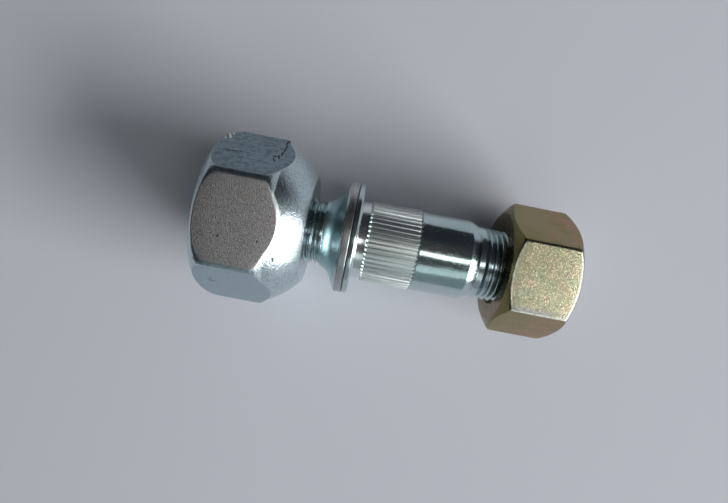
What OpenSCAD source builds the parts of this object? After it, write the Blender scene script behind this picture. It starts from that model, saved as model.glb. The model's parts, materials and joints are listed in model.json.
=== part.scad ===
// Truck wheel stud with its ball-seat wheel nut and its hub nut, lying on the flats of both nuts.
// The stud's axis is drawn along Z with the hub seat of the flange at zero, then laid down.
// The wheel end is at the negative side, the hub end at the positive side.

/* [Threads] */
// Outer diameter of the thread at the wheel end
wheel_thread_d = 18; // [16:0.5:20]
// Outer diameter of the thread at the hub end
hub_thread_d = 20; // [18:0.5:21]
// Pitch of both threads
thread_pitch = 1.5; // [1:0.25:2]
// How far the bevel at each end of the stud goes below the thread's root
tip_bevel = 0.4; // [0.1:0.1:1]
// Gap between a thread and its nut, on the radius
thread_gap = 0.05; // [0.02:0.01:0.1]

/* [Stud lengths] */
// Wheel end, from the hub seat to the tip
wheel_end_l = 39.7; // [36:0.1:44]
// Hub end, from the hub seat to the tip
hub_end_l = 57.2; // [53:0.1:60]
// Plain neck between the hub seat and the knurl
neck_l = 2.4; // [2.1:0.1:4]
// Length of the knurl
knurl_l = 14.2; // [10:0.1:16]
// Smooth shank between the knurl and the taper
shank_l = 13.8; // [10:0.1:15]
// Taper between the shank and the hub thread
taper_l = 2.7; // [1.5:0.1:4]

/* [Flange] */
// Diameter of the flange
flange_d = 31; // [29:0.1:34]
// Thickness of the flange at its rim
rim_t = 3.9; // [3:0.1:5]
// Slope of the flange's wheel face, away from square to the axis
wheel_face_slope = 24; // [16:1:30]
// Radius of the hollow between the wheel face and the thread
fillet_r = 5.5; // [4:0.1:6]
// Bevel on both edges of the rim
rim_bevel = 0.4; // [0.2:0.05:0.8]
// Depth of the forging seam round the rim
seam_depth = 0.3; // [0.1:0.05:0.5]
// Width of the forging seam round the rim
seam_w = 0.5; // [0.2:0.05:0.8]
// Distance from the hub seat to the middle of the seam
seam_at = 1.6; // [1.2:0.1:2]

/* [Shank] */
// Diameter of the neck
neck_d = 21.6; // [21:0.1:21.7]
// Diameter of the smooth shank
shank_d = 22.3; // [22:0.1:22.5]
// Diameter over the knurl's ridges
knurl_d = 22.7; // [22.6:0.1:23.4]
// Depth of the knurl's grooves
knurl_depth = 0.35; // [0.25:0.05:0.4]
// Ridges round the knurl
knurl_count = 52; // [40:1:56]
// Width of each ridge at its top
knurl_land = 0.75; // [0.5:0.05:0.8]
// Slope of each ridge's sides
knurl_flank = 32; // [20:1:38]
// Length of the bevel at each end of the ridges
knurl_bevel = 0.7; // [0.4:0.1:1.2]

/* [Wheel nut] */
// Width across the flats
wheel_nut_af = 41; // [38:0.5:44]
// Height from the outer face to the ball end
wheel_nut_h = 27.5; // [24:0.5:32]
// Distance from the hub seat to the ball end
wheel_nut_at = 13.2; // [11:0.1:15]
// Radius of the ball seat
ball_r = 24; // [23:0.5:27]
// Diameter of the flat end of the ball seat
ball_end_d = 29.6; // [26:0.1:32]
// Diameter where the ball seat gives way to the corner bevel
ball_d = 43; // [42:0.1:44]
// Slope of the corner bevel on the ball side
ball_corner_slope = 45; // [35:1:55]
// Rounding of the six corners
wheel_corner_round = 2.8; // [1:0.1:3.5]
// Diameter of the round outer face
wheel_nut_face_d = 38.5; // [36:0.1:40]
// Slope of the chamfer on the outer face
wheel_nut_chamfer = 36; // [20:1:40]

/* [Hub nut] */
// Width across the flats
hub_nut_af = 32; // [30:0.5:34]
// Height
hub_nut_h = 18.5; // [16:0.5:20]
// Distance from the hub seat to the near face
hub_nut_at = 39.7; // [37:0.1:42]
// Rounding of the six corners
hub_corner_round = 1.2; // [0.3:0.1:1.5]
// Diameter of both round faces
hub_nut_face_d = 30.4; // [28:0.1:31]
// Slope of the chamfer on both faces
hub_nut_chamfer = 31; // [25:1:45]

/* [Nut bores] */
// Widening of each bore at its mouth, on the radius
countersink = 0.9; // [0.4:0.1:1.4]

/* [Hidden] */
$fn = 96;

// Spare length for cuts and for ends that sink into another shape
over = 1;

// Depth of the thread's groove, and the bevel that takes it off at the stud's ends
thread_depth = 0.6134 * thread_pitch;
end_bevel = thread_depth + tip_bevel;

// Radii along the stud
wheel_thread_r = wheel_thread_d / 2;
hub_thread_r = hub_thread_d / 2;
flange_r = flange_d / 2;
neck_r = neck_d / 2;
shank_r = shank_d / 2;
crest_r = knurl_d / 2;
root_r = crest_r - knurl_depth;
core_r = root_r - knurl_depth;

// Stations along the stud
knurl_start = neck_l;
knurl_end = knurl_start + knurl_l;
taper_start = knurl_end + shank_l;
taper_end = taper_start + taper_l;

// Centre of the hollow, and where it meets the wheel face
fillet_mid_r = wheel_thread_r + fillet_r;
fillet_mid_z = -rim_t - (flange_r - fillet_mid_r) * tan(wheel_face_slope) - fillet_r / cos(wheel_face_slope);
fillet_out_r = fillet_mid_r - fillet_r * sin(wheel_face_slope);
fillet_out_z = fillet_mid_z + fillet_r * cos(wheel_face_slope);
seam_z = -seam_at;

// Angle at which the rounding of a hexagon's corner meets the flats
corner_blend = 6;

// Corner radii of the hexagons, and the heights of the ball's centre and of its rim in the nut.
// A rim wider than the ball itself lies at its equator, past the corners, and leaves no corner bevel.
wheel_corner_r = wheel_nut_af / sqrt(3);
hub_corner_r = hub_nut_af / sqrt(3);
ball_mid_z = wheel_nut_h - sqrt(pow(ball_r, 2) - pow(ball_end_d / 2, 2));
ball_out_z = ball_mid_z + sqrt(max(0, pow(ball_r, 2) - pow(ball_d / 2, 2)));

// Stations of the nuts' faces
wheel_nut_out = -wheel_nut_at - wheel_nut_h;
hub_nut_out = hub_nut_at + hub_nut_h;

// The axis tilts until the lowest flats of both nuts touch the table
wheel_rest = wheel_nut_out + ball_mid_z + sqrt(pow(ball_r, 2) - pow(wheel_nut_af / 2, 2));
hub_rest = hub_nut_out - (hub_nut_af - hub_nut_face_d) / 2 * tan(hub_nut_chamfer);
rest_tilt = atan((wheel_nut_af - hub_nut_af) / 2 / (hub_rest - wheel_rest));

// Place of the hub seat, with the box centred over the origin and its underside on the table
left_x = wheel_nut_out * cos(rest_tilt) - wheel_nut_face_d / 2 * sin(rest_tilt);
right_x = hub_nut_out * cos(rest_tilt) + hub_nut_face_d / 2 * sin(rest_tilt);
seat_x = -(left_x + right_x) / 2;
seat_z = wheel_rest * sin(rest_tilt) + wheel_nut_af / 2 * cos(rest_tilt);

// Lays a piece drawn along Z down on the table, with the hub end towards +X
module lay_down() {
    translate([seat_x, 0, seat_z])
        rotate([0, 90 + rest_tilt, 0])
            children();
}

// Solid of revolution round the stud's axis, without the knurl's ridges
module turned_body() {
    rotate_extrude()
        difference() {
            polygon([
                [0, -wheel_end_l],
                [wheel_thread_r - end_bevel, -wheel_end_l],
                [wheel_thread_r, -wheel_end_l + end_bevel],
                [wheel_thread_r, fillet_mid_z],
                [fillet_mid_r, fillet_mid_z],
                [fillet_out_r, fillet_out_z],
                [flange_r - rim_bevel, -rim_t - rim_bevel * tan(wheel_face_slope)],
                [flange_r, -rim_t + rim_bevel],
                [flange_r, seam_z - seam_w / 2],
                [flange_r - seam_depth, seam_z],
                [flange_r, seam_z + seam_w / 2],
                [flange_r, -rim_bevel],
                [flange_r - rim_bevel, 0],
                [neck_r, 0],
                [neck_r, knurl_start],
                [core_r, knurl_start + knurl_bevel],
                [core_r, knurl_end - knurl_bevel],
                [shank_r, knurl_end],
                [shank_r, taper_start],
                [hub_thread_r, taper_end],
                [hub_thread_r, hub_end_l - end_bevel],
                [hub_thread_r - end_bevel, hub_end_l],
                [0, hub_end_l]
            ]);
            translate([fillet_mid_r, fillet_mid_z])
                circle(fillet_r);
        }
}

// Half the width of a ridge at a given radius
function ridge_half(r) = knurl_land / 2 + (crest_r - r) * tan(knurl_flank);

// Point on one side of a ridge, turned to its place round the shank
function ridge_point(i, r, side) =
    let (turn = i * 360 / knurl_count, y = side * ridge_half(r))
    [r * cos(turn) - y * sin(turn), r * sin(turn) + y * cos(turn)];

// Straight ridges round the shank, bevelled at both ends
module knurl() {
    ridge_top_r = crest_r + knurl_land / 4;
    intersection() {
        translate([0, 0, knurl_start])
            linear_extrude(knurl_l)
                polygon([
                    for (i = [0:knurl_count - 1])
                        for (corner = [[root_r, -1], [ridge_top_r, -1], [ridge_top_r, 1], [root_r, 1]])
                            ridge_point(i, corner[0], corner[1])
                ]);
        rotate_extrude()
            polygon([
                [0, knurl_start],
                [core_r, knurl_start],
                [crest_r, knurl_start + knurl_bevel],
                [crest_r, knurl_end - knurl_bevel],
                [core_r, knurl_end],
                [0, knurl_end]
            ]);
    }
}

module stud() {
    color([0.62, 0.68, 0.70])
        lay_down()
            union() {
                turned_body();
                knurl();
            }
}

// Hexagon with rounded corners, and with flats above and below once it is laid down.
// A disc reaches along the flats into six small discs, and those round the corners.
module hexagon(across_flats, corner_round, h) {
    corner_r = across_flats / sqrt(3);
    round_mid_r = (across_flats - 2 * corner_round * cos(corner_blend)) / sqrt(3);
    disc_r = sqrt(pow(across_flats / 2, 2) + pow(round_mid_r / 2, 2));
    linear_extrude(h)
        intersection() {
            polygon([for (corner = [30:60:330]) corner_r * [cos(corner), sin(corner)]]);
            union() {
                circle(disc_r);
                for (corner = [30:60:330])
                    rotate(corner)
                        translate([round_mid_r, 0])
                            circle(corner_round);
            }
        }
}

// Plain bore through a nut, widened at both mouths
module nut_bore(thread_d, h) {
    bore_r = thread_d / 2 + thread_gap;
    mouth_r = bore_r + countersink;
    translate([0, 0, -over])
        cylinder(h = h + 2 * over, r = bore_r);
    translate([0, 0, -over])
        cylinder(h = countersink + over, r1 = mouth_r + over, r2 = bore_r);
    translate([0, 0, h - countersink])
        cylinder(h = countersink + over, r1 = bore_r, r2 = mouth_r + over);
}

// Outline that rounds the wheel nut: chamfer below, corner bevel and ball seat above
module wheel_nut_round() {
    wide_r = wheel_corner_r + over;
    rotate_extrude()
        intersection() {
            polygon([
                [0, 0],
                [wheel_nut_face_d / 2, 0],
                [wide_r, (wide_r - wheel_nut_face_d / 2) * tan(wheel_nut_chamfer)],
                [wide_r, ball_out_z - (wide_r - ball_d / 2) * tan(ball_corner_slope)],
                [ball_d / 2, ball_out_z],
                [ball_d / 2, wheel_nut_h],
                [0, wheel_nut_h]
            ]);
            union() {
                translate([0, ball_mid_z])
                    circle(ball_r);
                square([wide_r + over, ball_out_z]);
            }
        }
}

module wheel_nut() {
    color([0.60, 0.64, 0.66])
        lay_down()
            translate([0, 0, wheel_nut_out])
                difference() {
                    intersection() {
                        hexagon(wheel_nut_af, wheel_corner_round, wheel_nut_h);
                        wheel_nut_round();
                    }
                    nut_bore(wheel_thread_d, wheel_nut_h);
                }
}

// Outline that rounds both faces of the hub nut
module hub_nut_round() {
    wide_r = hub_corner_r + over;
    slope_h = (wide_r - hub_nut_face_d / 2) * tan(hub_nut_chamfer);
    rotate_extrude()
        polygon([
            [0, 0],
            [hub_nut_face_d / 2, 0],
            [wide_r, slope_h],
            [wide_r, hub_nut_h - slope_h],
            [hub_nut_face_d / 2, hub_nut_h],
            [0, hub_nut_h]
        ]);
}

module hub_nut() {
    color([0.66, 0.62, 0.44])
        lay_down()
            translate([0, 0, hub_nut_at])
                difference() {
                    intersection() {
                        hexagon(hub_nut_af, hub_corner_round, hub_nut_h);
                        hub_nut_round();
                    }
                    nut_bore(hub_thread_d, hub_nut_h);
                }
}

stud();
wheel_nut();
hub_nut();
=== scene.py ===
"""Studio picture of a truck wheel stud with its ball-seat wheel nut and its hub nut.

Each piece is modelled in millimetres along the lathe axis, local Z, with the hub seat of the
flange at zero, and is then laid down into the frame, in metres, where it stands for its solid.
"""

import json
import logging
import math
from dataclasses import dataclass, field
from enum import Enum
from typing import Any, Callable, Sequence

import bmesh
import bpy
from mathutils import Matrix, Vector


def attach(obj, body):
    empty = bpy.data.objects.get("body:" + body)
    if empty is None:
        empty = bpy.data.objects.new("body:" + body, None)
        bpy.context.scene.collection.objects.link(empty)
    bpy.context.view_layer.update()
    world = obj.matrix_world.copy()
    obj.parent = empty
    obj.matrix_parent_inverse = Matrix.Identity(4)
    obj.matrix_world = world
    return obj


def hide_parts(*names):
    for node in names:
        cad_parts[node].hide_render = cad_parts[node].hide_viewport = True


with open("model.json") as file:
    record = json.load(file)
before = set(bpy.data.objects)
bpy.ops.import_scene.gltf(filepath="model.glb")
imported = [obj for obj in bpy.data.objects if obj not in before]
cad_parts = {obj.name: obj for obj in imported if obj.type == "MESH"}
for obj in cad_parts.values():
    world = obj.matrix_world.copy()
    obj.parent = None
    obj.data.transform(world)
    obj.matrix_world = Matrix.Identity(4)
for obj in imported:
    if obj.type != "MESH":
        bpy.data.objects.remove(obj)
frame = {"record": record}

LOG = logging.getLogger("wheel_stud")
MM = 0.001
TURN = 2 * math.pi
WELD = 1e-4
ARC_ROOM = 0.45
COLUMN_SLACK = 0.02
SPECK_SOFT = 0.01
LAMP_AIM = (0.0, 0.0, 0.02)
FLAT_SIDES = 6
HALF_SIDE = math.pi / FLAT_SIDES
RIDGE_COLUMNS = 6
MARK_LAYER = "mark"


class Axis(Enum):
    """The directions that operators on the bench take."""

    ALONG = (0.0, 0.0, 1.0)
    BACK = (0.0, 0.0, -1.0)


@dataclass(frozen=True)
class Corner:
    """A corner of an outline beside the lathe axis.

    Attributes:
        r: Distance from the axis, in millimetres.
        z: Place along the axis, in millimetres.
        round: Radius that softens the corner, in millimetres.
    """

    r: float
    z: float
    round: float = 0.0


Point = tuple[float, float]
Ring = Callable[[int], tuple[float, float, float]]


def soften(corners: Sequence[Corner], steps: int = 4) -> list[Point]:
    """Turns an outline's corners into points, with an arc at each rounded corner.

    Args:
        corners: The outline, from its first point to its last.
        steps: Points on each arc, less one.

    Returns:
        The points, as many for every outline that has the same rounded corners.
    """
    points: list[Point] = []
    for index, corner in enumerate(corners):
        here = Vector((corner.r, corner.z))
        if corner.round == 0 or index in (0, len(corners) - 1):
            points.append((corner.r, corner.z))
            continue
        before = Vector((corners[index - 1].r, corners[index - 1].z)) - here
        after = Vector((corners[index + 1].r, corners[index + 1].z)) - here
        turn = math.pi - before.angle(after, math.pi)
        room = ARC_ROOM * min(before.length, after.length)
        trim = min(corner.round * math.tan(turn / 2), room)
        first = here + before.normalized() * trim
        last = here + after.normalized() * trim
        for step in range(steps + 1):
            share = step / steps
            spot = first.lerp(here, share).lerp(here.lerp(last, share), share)
            points.append((spot.x, spot.y))
    return points


def only(piece: bpy.types.Object) -> None:
    """Selects one object alone and makes it active."""
    bpy.ops.object.select_all(action="DESELECT")
    piece.select_set(True)
    bpy.context.view_layer.objects.active = piece


@dataclass(frozen=True)
class ToothForm:
    """Section of one screw tooth, between two neighbouring grooves.

    Attributes:
        low_r: Radius at the bottom of the groove.
        high_r: Radius at the top of the tooth.
        low_w: Width of the groove's floor.
        high_w: Width of the tooth's top.
        low_mid: Place of the groove's middle within a pitch.
        crest_round: Height of the rounding on the tooth's two edges.
    """

    low_r: float
    high_r: float
    low_w: float
    high_w: float
    low_mid: float
    crest_round: float = 0.0

    def line(self, pitch: float) -> list[Point]:
        """Gives the tooth's section over one pitch, from the groove's floor to the next floor.

        Args:
            pitch: Length of one turn along the axis.

        Returns:
            Points as radius and place along the axis.
        """
        floor = self.low_mid - self.low_w / 2
        top = self.low_mid + pitch / 2 - self.high_w / 2
        back = self.crest_round * (top - floor - self.low_w) / (self.high_r - self.low_r)
        crest = [(self.high_r, top), (self.high_r, top + self.high_w)]
        if self.crest_round:
            crest = [
                (self.high_r - self.crest_round, top - back),
                (self.high_r, top + self.high_w / 4),
                (self.high_r, top + self.high_w * 3 / 4),
                (self.high_r - self.crest_round, top + self.high_w + back),
            ]
        return [(self.low_r, floor), (self.low_r, floor + self.low_w), *crest, (self.low_r, floor + pitch)]


@dataclass(frozen=True)
class ScrewThread:
    """A thread that a stud and its nut share.

    Attributes:
        outer_d: Outer diameter of the stud's thread.
        pitch: Length of one turn.
        gap: Room between the two, on the radius.
        stud_depth: Depth of the stud's groove beside the pitch.
        nut_depth: Depth of the nut's groove beside the pitch.
        flank_run: Length of a flank along the axis beside the pitch.
        crest_round: Rounding on the edges of the stud's tooth.
    """

    outer_d: float
    pitch: float = 1.5
    gap: float = 0.05
    stud_depth: float = 0.6134
    nut_depth: float = 0.5413
    flank_run: float = 5 / 16
    crest_round: float = 0.12

    @property
    def outer_r(self) -> float:
        """Outer radius of the stud's thread."""
        return self.outer_d / 2

    @property
    def depth(self) -> float:
        """Depth of the stud's groove."""
        return self.stud_depth * self.pitch

    @property
    def stud_form(self) -> ToothForm:
        """Section of the stud's tooth."""
        low_r = self.outer_r - self.depth
        return ToothForm(low_r, self.outer_r, self.pitch / 4, self.pitch / 8, 0.0, self.crest_round)

    @property
    def nut_form(self) -> ToothForm:
        """Section of the nut's groove, whose teeth lie in the stud's grooves."""
        low_r = self.outer_r - self.nut_depth * self.pitch
        slope = (self.pitch * self.flank_run) / self.depth
        high_r = self.outer_r + self.gap
        ridge_w = self.pitch / 4
        groove_w = self.pitch - ridge_w - 2 * (high_r - low_r) * slope
        return ToothForm(low_r, high_r, ridge_w, groove_w, 0.0)


class Workpiece:
    """A mesh that is modelled along the lathe axis, in millimetres."""

    def __init__(self, name: str, columns: int) -> None:
        """Starts a piece.

        Args:
            name: Name of the finished piece.
            columns: Points round the axis.
        """
        self.name = name
        self.columns = columns
        self.body: bpy.types.Object | None = None

    def edit(self) -> bmesh.types.BMesh:
        """Opens the piece for editing and gives its mesh."""
        if self.body.mode != "EDIT":
            only(self.body)
            bpy.ops.object.mode_set(mode="EDIT")
            bpy.ops.mesh.select_mode(type="VERT")
        return bmesh.from_edit_mesh(self.body.data)

    def close(self) -> None:
        """Leaves edit mode."""
        bpy.ops.object.mode_set(mode="OBJECT")

    def cut_thread(self, form: ToothForm, pitch: float, start: float, end: float) -> None:
        """Turns a tooth's section along its helix and trims it square at both ends.

        Args:
            form: Section of the tooth.
            pitch: Length of one turn.
            start: Lower end along the axis.
            end: Upper end along the axis.
        """
        line = form.line(pitch)
        first_turn = math.floor((start - form.low_mid) / pitch) - 2
        turns = math.ceil((end - start) / pitch) + 4
        bpy.ops.object.select_all(action="DESELECT")
        bpy.ops.mesh.primitive_plane_add(size=pitch, location=(0, 0, 0))
        self.body = bpy.context.object
        self.body.name = self.body.data.name = self.name
        self.edit()
        bpy.ops.mesh.select_all(action="SELECT")
        bpy.ops.mesh.merge(type="CENTER")
        here = Vector((line[0][0], 0, line[0][1] + first_turn * pitch))
        bpy.ops.transform.translate(value=here)
        for before, after in zip(line, line[1:]):
            step = (after[0] - before[0], 0, after[1] - before[1])
            bpy.ops.mesh.extrude_vertices_move(TRANSFORM_OT_translate={"value": step})
        self.close()
        row = self.body.modifiers.new("row of teeth", "ARRAY")
        row.count = turns
        row.use_relative_offset = False
        row.use_constant_offset = True
        row.constant_offset_displace = (0, 0, pitch)
        row.use_merge_vertices = True
        row.merge_threshold = WELD
        helix = self.body.modifiers.new("helix", "SCREW")
        helix.axis = "Z"
        helix.angle = TURN
        helix.screw_offset = pitch
        helix.steps = helix.render_steps = self.columns
        helix.use_merge_vertices = True
        helix.merge_threshold = WELD
        for modifier in (row, helix):
            bpy.ops.object.modifier_apply(modifier=modifier.name)
        self.edit()
        bpy.ops.mesh.select_all(action="SELECT")
        bpy.ops.mesh.remove_doubles(threshold=WELD)
        self.trim(start, Axis.BACK)
        self.trim(end, Axis.ALONG)
        self.number_columns()
        self.close()

    def trim(self, place: float, side: Axis) -> None:
        """Cuts off what lies past a plane square to the axis, and leaves one point per column there.

        Args:
            place: Where the plane lies along the axis.
            side: The side that is cut off.
        """
        bpy.ops.mesh.select_all(action="SELECT")
        bpy.ops.mesh.bisect(
            plane_co=(0, 0, place), plane_no=side.value, clear_outer=True, clear_inner=False, threshold=WELD / 10
        )
        mesh = self.edit()
        step = TURN / self.columns
        for vert in mesh.verts:
            column = math.atan2(vert.co.y, vert.co.x) / step
            between = abs(column - round(column)) > COLUMN_SLACK
            vert.select = vert.is_boundary and abs(vert.co.z - place) < WELD and between
        mesh.select_flush_mode()
        bmesh.update_edit_mesh(self.body.data)
        bpy.ops.mesh.dissolve_verts()

    def number_columns(self) -> None:
        """Writes each point's column round the axis to the mesh, for the rings that follow."""
        mesh = self.edit()
        layer = mesh.verts.layers.int.get("column") or mesh.verts.layers.int.new("column")
        for vert in mesh.verts:
            vert[layer] = round(math.atan2(vert.co.y, vert.co.x) / TURN * self.columns) % self.columns
        bmesh.update_edit_mesh(self.body.data)

    def select_rim(self, place: float) -> None:
        """Selects the open rim at a place along the axis."""
        mesh = self.edit()
        for vert in mesh.verts:
            vert.select = False
        for edge in mesh.edges:
            edge.select = edge.is_boundary and all(abs(v.co.z - place) < WELD for v in edge.verts)
        for edge in mesh.edges:
            for vert in edge.verts:
                vert.select = vert.select or edge.select
        mesh.select_flush_mode()
        bmesh.update_edit_mesh(self.body.data)

    def loft(self, rings: Sequence[Ring]) -> None:
        """Extrudes the selected rim from ring to ring.

        Args:
            rings: For each ring, what gives a column's angle, radius and place along the axis.
        """
        for ring in rings:
            bpy.ops.mesh.extrude_region()
            mesh = self.edit()
            layer = mesh.verts.layers.int["column"]
            for vert in mesh.verts:
                if vert.select:
                    angle, r, z = ring(vert[layer])
                    vert.co = (r * math.cos(angle), r * math.sin(angle), z)
            bmesh.update_edit_mesh(self.body.data)

    def fill(self) -> None:
        """Closes the selected rim with one flat face."""
        bpy.ops.mesh.edge_face_add()

    def bridge(self) -> None:
        """Joins the two rims that are still open."""
        self.edit()
        bpy.ops.mesh.select_all(action="DESELECT")
        bpy.ops.mesh.select_non_manifold(
            extend=False, use_wire=False, use_boundary=True, use_multi_face=False, use_non_contiguous=False,
            use_verts=False,
        )
        bpy.ops.mesh.bridge_edge_loops()

    def reshape(self, move: Callable[[Vector], Vector]) -> None:
        """Moves every point of the piece.

        Args:
            move: What gives a point's new place.
        """
        mesh = self.edit()
        for vert in mesh.verts:
            vert.co = move(vert.co)
        bmesh.update_edit_mesh(self.body.data)
        self.close()

    def join(self, other: "Workpiece") -> None:
        """Takes another workpiece's mesh into this one."""
        only(other.body)
        self.body.select_set(True)
        bpy.context.view_layer.objects.active = self.body
        bpy.ops.object.join()

    def combine(self, other: bpy.types.Object, operation: str) -> None:
        """Cuts another solid out of this one, or adds it, and removes the other.

        Args:
            other: The other solid.
            operation: DIFFERENCE or UNION.
        """
        only(self.body)
        tool = self.body.modifiers.new("tool", "BOOLEAN")
        tool.operation = operation
        tool.solver = "EXACT"
        tool.object = other
        bpy.ops.object.modifier_apply(modifier=tool.name)
        bpy.data.objects.remove(other, do_unlink=True)

    def finish(self, place: Matrix, sharp_angle: float = 32.0) -> bpy.types.Object:
        """Turns all faces outwards, sets the shading and lays the piece down in the frame.

        Args:
            place: From the lathe axis, in millimetres, to the frame, in metres.
            sharp_angle: Angle in degrees from which an edge stays sharp.

        Returns:
            The finished object, at the origin.
        """
        self.edit()
        bpy.ops.mesh.select_all(action="SELECT")
        bpy.ops.mesh.normals_make_consistent(inside=False)
        self.close()
        column = self.body.data.attributes.get("column")
        if column:
            self.body.data.attributes.remove(column)
        self.body.matrix_world = place
        only(self.body)
        bpy.ops.object.transform_apply(location=True, rotation=True, scale=True)
        bpy.ops.object.shade_smooth_by_angle(angle=math.radians(sharp_angle))
        return self.body


def plain_rings(points: Sequence[Point], columns: int) -> list[Ring]:
    """Makes round rings from the points of an outline.

    Args:
        points: Radius and place of each ring.
        columns: Points round the axis.

    Returns:
        One ring for each point.
    """

    def ring_at(point: Point) -> Ring:
        """Makes one round ring."""
        return lambda column: (column * TURN / columns, point[0], point[1])

    return [ring_at(point) for point in points]


@dataclass
class Stud:
    """The stud: two threads, hollow, flange, neck, knurl, shank and taper, in one piece.

    Lengths are in millimetres, slopes in radians. Names that end in l, d and r are lengths along
    the axis, diameters and radii; those with soft or round are roundings.
    """

    wheel_thread: ScrewThread
    hub_thread: ScrewThread
    wheel_end_l: float = 39.7
    hub_end_l: float = 57.2
    neck_l: float = 2.4
    knurl_l: float = 14.2
    shank_l: float = 13.8
    taper_l: float = 2.7
    flange_d: float = 31.0
    rim_t: float = 3.9
    wheel_face_slope: float = math.radians(24)
    fillet_r: float = 5.5
    rim_bevel: float = 0.4
    seam_depth: float = 0.3
    seam_w: float = 0.5
    seam_at: float = 1.6
    neck_d: float = 21.6
    shank_d: float = 22.3
    knurl_d: float = 22.7
    knurl_depth: float = 0.35
    knurl_count: int = 52
    knurl_land: float = 0.75
    knurl_flank: float = math.radians(32)
    knurl_bevel: float = 0.7
    knurl_crown: float = 0.03
    knurl_tip: float = 0.3
    tip_bevel: float = 0.4
    runout_l: float = 2.0
    fillet_steps: int = 20
    thread_steps: int = 6
    hold: float = 0.3
    edge_soft: float = 0.25
    seam_soft: float = 0.15
    seam_floor_soft: float = 0.1
    neck_round: float = 0.5
    neck_hold: float = 0.1
    taper_round: float = 1.2
    taper_end_round: float = 0.8
    plain_l: float = 0.6
    hub_lead_l: float = 0.8
    tip_round: float = 0.12
    tip_inset: float = 0.1
    scallop: tuple[float, ...] = (0.45, 1.0, 0.45, -0.4, -0.6, -0.4)
    scallop_fade: tuple[float, float] = (0.6, 0.4)
    columns: int = field(init=False)

    def __post_init__(self) -> None:
        """Gives each ridge of the knurl six columns of points."""
        self.columns = RIDGE_COLUMNS * self.knurl_count

    @property
    def knurl_start(self) -> float:
        """Where the knurl starts along the axis."""
        return self.neck_l

    @property
    def knurl_end(self) -> float:
        """Where the knurl ends along the axis."""
        return self.knurl_start + self.knurl_l

    @property
    def taper_end(self) -> float:
        """Where the taper reaches the hub thread."""
        return self.knurl_end + self.shank_l + self.taper_l

    @property
    def hollow_mid(self) -> Point:
        """Middle of the hollow's arc, as radius and place along the axis."""
        mid_r = self.wheel_thread.outer_r + self.fillet_r
        rise = (self.flange_d / 2 - mid_r) * math.tan(self.wheel_face_slope)
        return mid_r, -self.rim_t - rise - self.fillet_r / math.cos(self.wheel_face_slope)

    def hollow_rise(self, z: float) -> float:
        """Gives how far the hollow stands above the wheel thread at a place along the axis."""
        reach = max(z - self.hollow_mid[1], 0.0)
        return self.fillet_r - math.sqrt(self.fillet_r**2 - reach**2)

    def hollow(self) -> tuple[list[Corner], float]:
        """Works out the hollow between the wheel thread and the flange.

        Returns:
            The arc's points, and where the thread on it ends along the axis.
        """
        mid_r, mid_z = self.hollow_mid
        sweep = math.pi / 2 - self.wheel_face_slope
        arc = []
        for step in range(self.thread_steps, self.fillet_steps + 1):
            angle = math.pi - sweep * step / self.fillet_steps
            arc.append(Corner(mid_r + self.fillet_r * math.cos(angle), mid_z + self.fillet_r * math.sin(angle)))
        return arc[1:], arc[0].z

    def flange(self) -> list[Corner]:
        """Gives the flange's outline, with its forging seam, up to the knurl."""
        r = self.flange_d / 2
        seam_z = -self.seam_at
        soft = self.edge_soft
        return [
            Corner(r - self.rim_bevel, -self.rim_t - self.rim_bevel * math.tan(self.wheel_face_slope), soft),
            Corner(r, -self.rim_t + self.rim_bevel, soft),
            Corner(r, seam_z - self.seam_w / 2, self.seam_soft),
            Corner(r - self.seam_depth, seam_z, self.seam_floor_soft),
            Corner(r, seam_z + self.seam_w / 2, self.seam_soft),
            Corner(r, -self.rim_bevel, soft),
            Corner(r - self.rim_bevel, 0, soft),
            Corner(self.neck_d / 2, 0, self.neck_round),
            Corner(self.neck_d / 2, self.knurl_start - self.neck_hold),
        ]

    def knurl_ring(self, z: float, tip: float = 0.0, flat_r: float | None = None) -> Ring:
        """Makes a ring across the knurl's ridges.

        Args:
            z: Place of the ring along the axis.
            tip: How far the middle of each ridge reaches past that place.
            flat_r: Radius of a ring that has lost the ridges and keeps their scallops.

        Returns:
            The ring, with three columns on each ridge and three in each groove.
        """
        crest_r = self.knurl_d / 2
        root_r = crest_r - self.knurl_depth
        ridge_turn = TURN / self.knurl_count
        land = self.knurl_land / 2 / crest_r
        foot = (self.knurl_land / 2 + self.knurl_depth * math.tan(self.knurl_flank)) / root_r
        offsets = (-land, 0.0, land, foot, ridge_turn / 2, ridge_turn - foot)
        edge_r = crest_r - self.knurl_crown
        radii = (edge_r, crest_r, edge_r, root_r, root_r, root_r)

        def ring(column: int) -> tuple[float, float, float]:
            """Gives a column's angle, radius and place."""
            ridge, part = divmod(column, RIDGE_COLUMNS)
            middle = (ridge + 1 / RIDGE_COLUMNS) * ridge_turn
            return middle + offsets[part], flat_r or radii[part], z + tip * self.scallop[part]

        return ring

    def knurl(self) -> list[Ring]:
        """Gives the rings from the neck over the knurl to the shank."""
        crest_r = self.knurl_d / 2
        core_r = crest_r - 2 * self.knurl_depth
        slope = (crest_r - core_r) / self.knurl_bevel
        start, end = self.knurl_start, self.knurl_end
        near, far = self.neck_d / 2, self.shank_d / 2
        near_dip = (near - core_r) / (slope + (near - core_r) / self.knurl_bevel)
        far_dip = (far - core_r) / (slope + (far - core_r) / self.knurl_bevel)
        dip_tip, end_tip = (self.knurl_tip * share for share in self.scallop_fade)
        return plain_rings([(near, start), (core_r + slope * near_dip, start + near_dip)], self.columns) + [
            self.knurl_ring(start + self.knurl_bevel, -self.knurl_tip / 2),
            self.knurl_ring(end - self.knurl_bevel, self.knurl_tip),
            self.knurl_ring(end - far_dip, dip_tip, core_r + slope * far_dip),
            self.knurl_ring(end, end_tip, far),
        ]

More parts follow.
